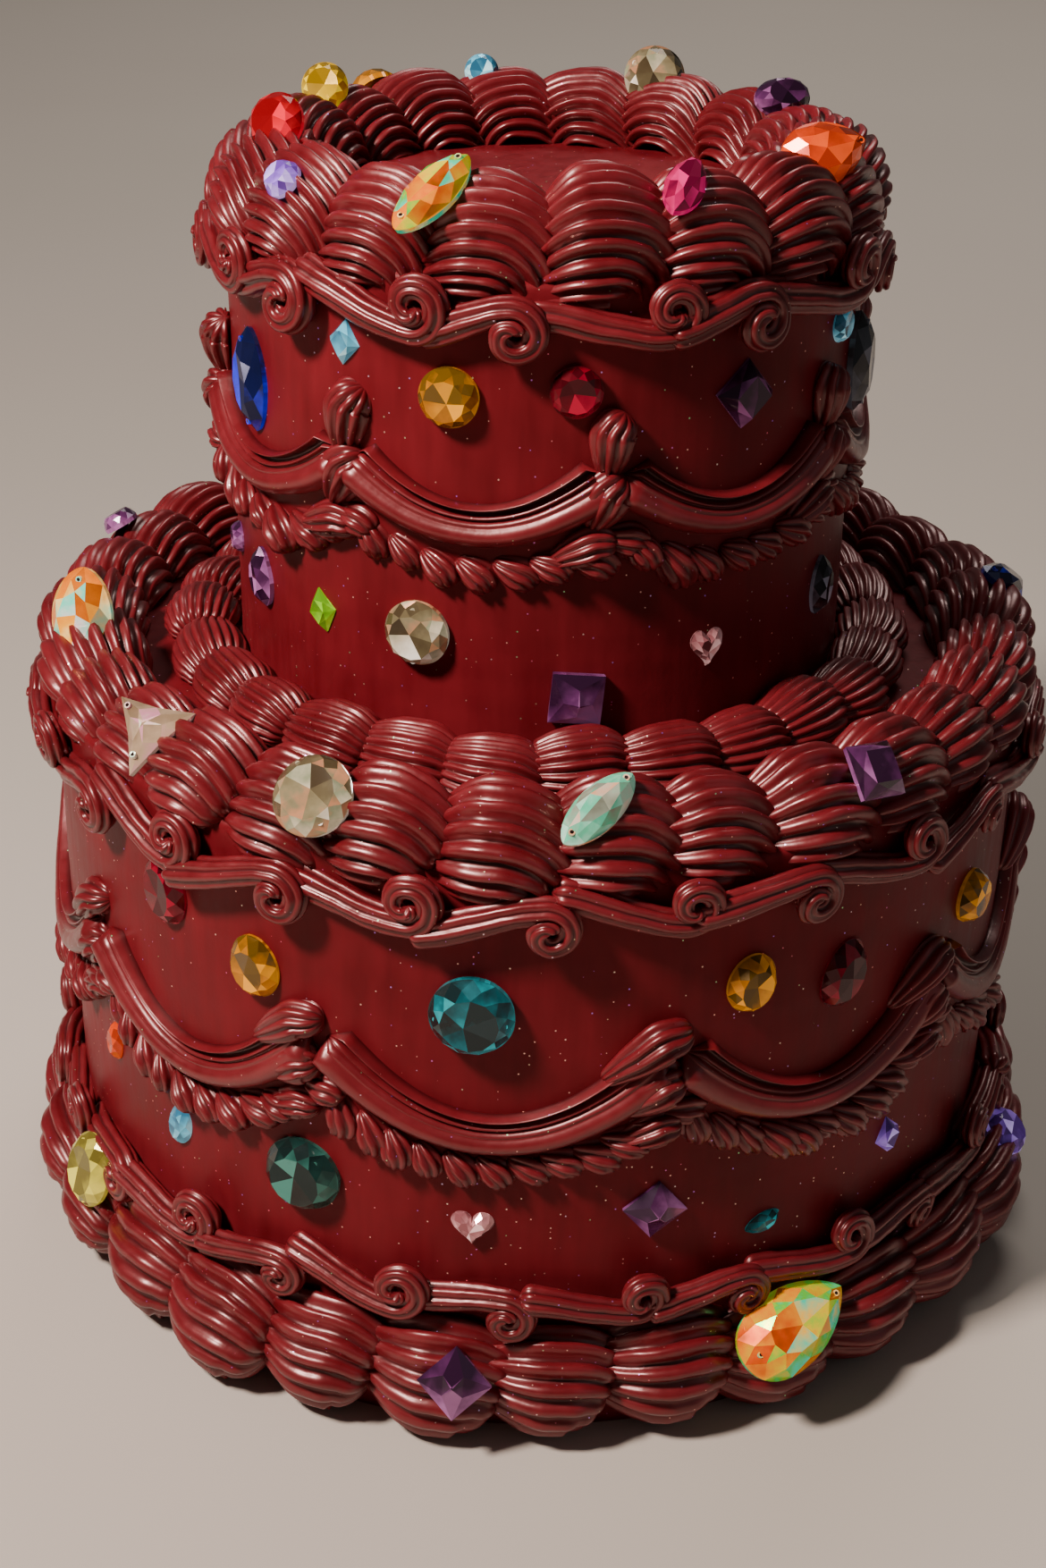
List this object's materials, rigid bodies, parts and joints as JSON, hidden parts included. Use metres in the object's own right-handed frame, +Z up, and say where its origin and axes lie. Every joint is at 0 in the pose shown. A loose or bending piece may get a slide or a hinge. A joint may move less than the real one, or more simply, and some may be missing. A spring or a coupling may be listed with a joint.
{
  "type": "tiered cake",
  "caption": "Round two-tier celebration cake with piped buttercream shell borders, scrolls and swags, set with faceted jewels.",
  "frame": {"origin": "centre of the flat underside of the lower tier, where the cake stands", "axes": "+Z up through the middle of both tiers; the front of the cake faces -Y and +X is to its right"},
  "size_m": [0.286, 0.2884, 0.3026],
  "materials": {
    "wall_icing": "burgundy buttercream smoothed with a scraper, satin, with fine streaks and glitter",
    "piped_icing": "piped burgundy buttercream with soft ridges and a moist sheen",
    "jewel_yellow": "transparent yellow and lime acrylic, faceted",
    "jewel_amber": "transparent amber and orange acrylic, faceted",
    "jewel_red": "transparent red and garnet acrylic, faceted",
    "jewel_pink": "transparent pink acrylic, faceted",
    "jewel_purple": "transparent purple and lilac acrylic, faceted",
    "jewel_blue": "transparent blue acrylic, faceted",
    "jewel_green": "transparent green and teal acrylic, faceted",
    "jewel_clear": "clear and smoke acrylic over foil, faceted",
    "jewel_rainbow": "clear acrylic with an iridescent coat, faceted"
  },
  "bodies": {
    "root": {"bottom_garland": "piped_icing", "bottom_tier": "wall_icing", "bottom_wall_amber_edge": "jewel_amber", "bottom_wall_amber_oval": "jewel_amber", "bottom_wall_amber_right": "jewel_amber", "bottom_wall_blue_back": "jewel_blue", "bottom_wall_garnet_back": "jewel_red", "bottom_wall_garnet_oval": "jewel_red", "bottom_wall_garnet_right": "jewel_red", "bottom_wall_green_round": "jewel_green", "bottom_wall_lime_back": "jewel_yellow", "bottom_wall_purple_back": "jewel_purple", "bottom_wall_purple_square": "jewel_purple", "bottom_wall_teal_back": "jewel_green", "bottom_wall_teal_round": "jewel_green", "collar_border": "piped_icing", "crown_amber_back": "jewel_amber", "crown_border": "piped_icing", "crown_clear_round": "jewel_clear", "crown_green_back": "jewel_green", "crown_lilac_round": "jewel_purple", "crown_magenta_navette": "jewel_pink", "crown_orange_pear": "jewel_amber", "crown_purple_oval": "jewel_purple", "crown_rainbow_navette": "jewel_rainbow", "crown_red_round": "jewel_red", "crown_sky_round": "jewel_blue", "crown_yellow_round": "jewel_yellow", "foot_border": "piped_icing", "foot_lilac_round": "jewel_purple", "foot_lime_oval": "jewel_yellow", "foot_purple_square": "jewel_purple", "foot_rainbow_pear": "jewel_rainbow", "foot_teal_back": "jewel_green", "ledge_amber_back": "jewel_amber", "ledge_blue_back": "jewel_blue", "ledge_border": "piped_icing", "ledge_clear_round": "jewel_clear", "ledge_mint_navette": "jewel_rainbow", "ledge_purple_round": "jewel_purple", "ledge_purple_square": "jewel_purple", "ledge_rainbow_navette": "jewel_rainbow", "ledge_rose_back": "jewel_pink", "ledge_trefoil": "jewel_rainbow", "top_garland": "piped_icing", "top_tier": "wall_icing", "top_wall_amber_back": "jewel_amber", "top_wall_amber_round": "jewel_amber", "top_wall_blue_navette": "jewel_blue", "top_wall_clear_back": "jewel_clear", "top_wall_clear_round": "jewel_clear", "top_wall_dim_navette": "jewel_clear", "top_wall_garnet_round": "jewel_red", "top_wall_green_back": "jewel_green", "top_wall_purple_navette": "jewel_purple", "top_wall_purple_pyramid": "jewel_purple", "top_wall_purple_square": "jewel_purple", "top_wall_red_back": "jewel_red", "top_wall_smoke_navette": "jewel_clear", "top_wall_teal_back": "jewel_green"}
  },
  "joints": []
}
